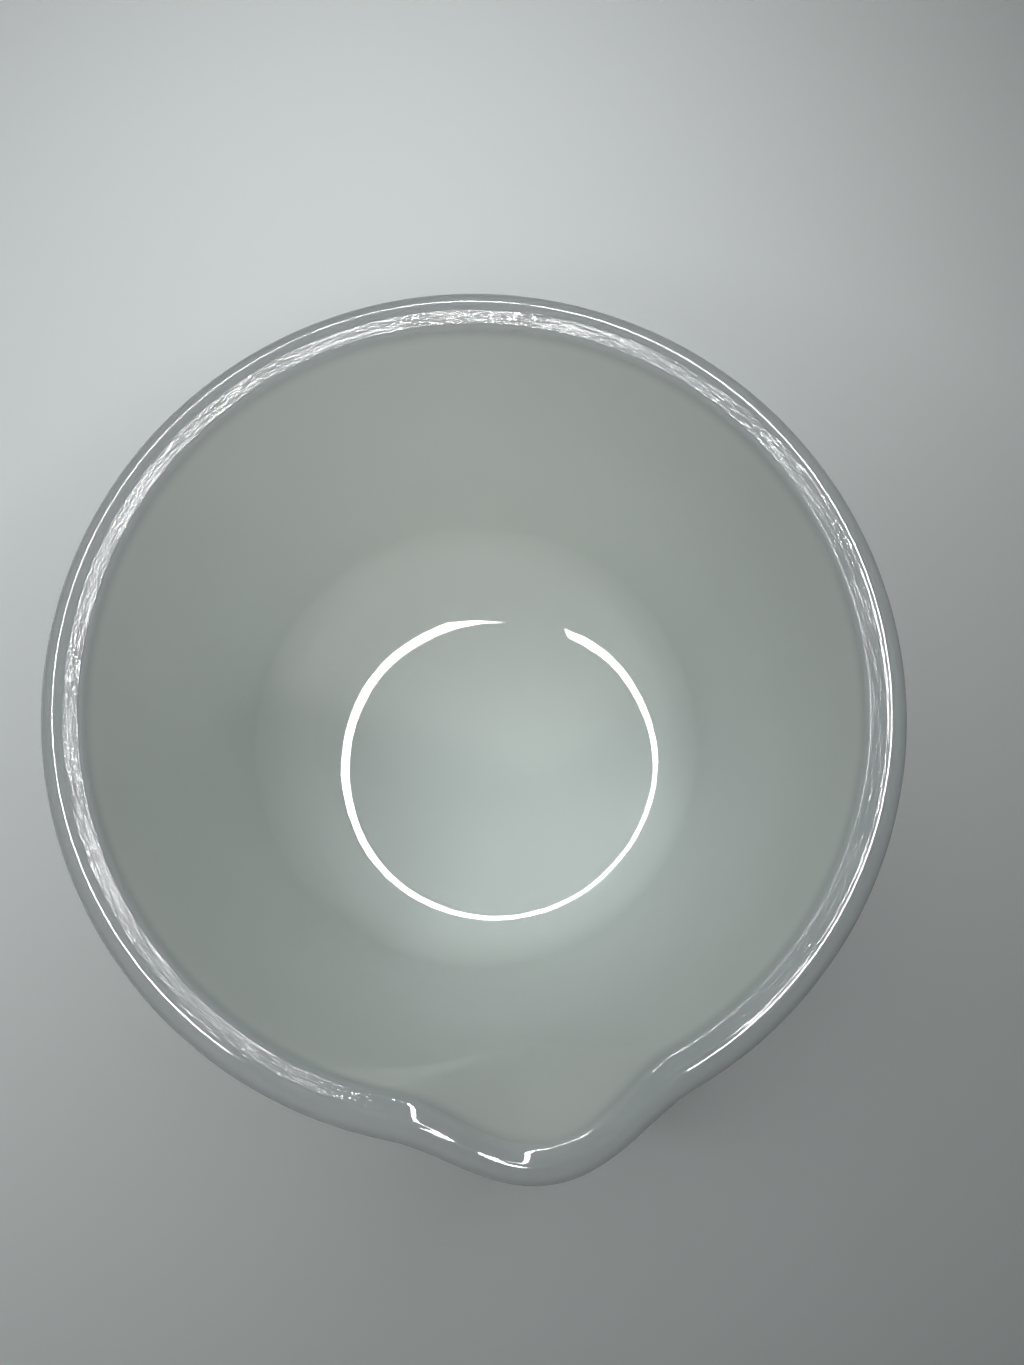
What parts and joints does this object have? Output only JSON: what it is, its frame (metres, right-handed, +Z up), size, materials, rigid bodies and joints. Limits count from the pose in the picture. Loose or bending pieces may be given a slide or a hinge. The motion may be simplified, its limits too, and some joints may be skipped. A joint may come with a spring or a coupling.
{
  "type": "spouted bowl",
  "caption": "Tapered round bowl in white opal glass with a thick rounded rim, a drawn pouring spout and a flat low foot.",
  "frame": {"origin": "middle of the flat underside, on the bowl's axis and on the surface that it rests on", "axes": "+Z up along the bowl's axis, -Y towards the pouring spout, +X to the right seen from the spout's side"},
  "size_m": [0.1648, 0.1723, 0.1016],
  "materials": {
    "opal_glass": "fire-polished gloss, opaque white with a faint cool translucency at the rim"
  },
  "bodies": {
    "root": {"bowl": "opal_glass"}
  },
  "joints": []
}
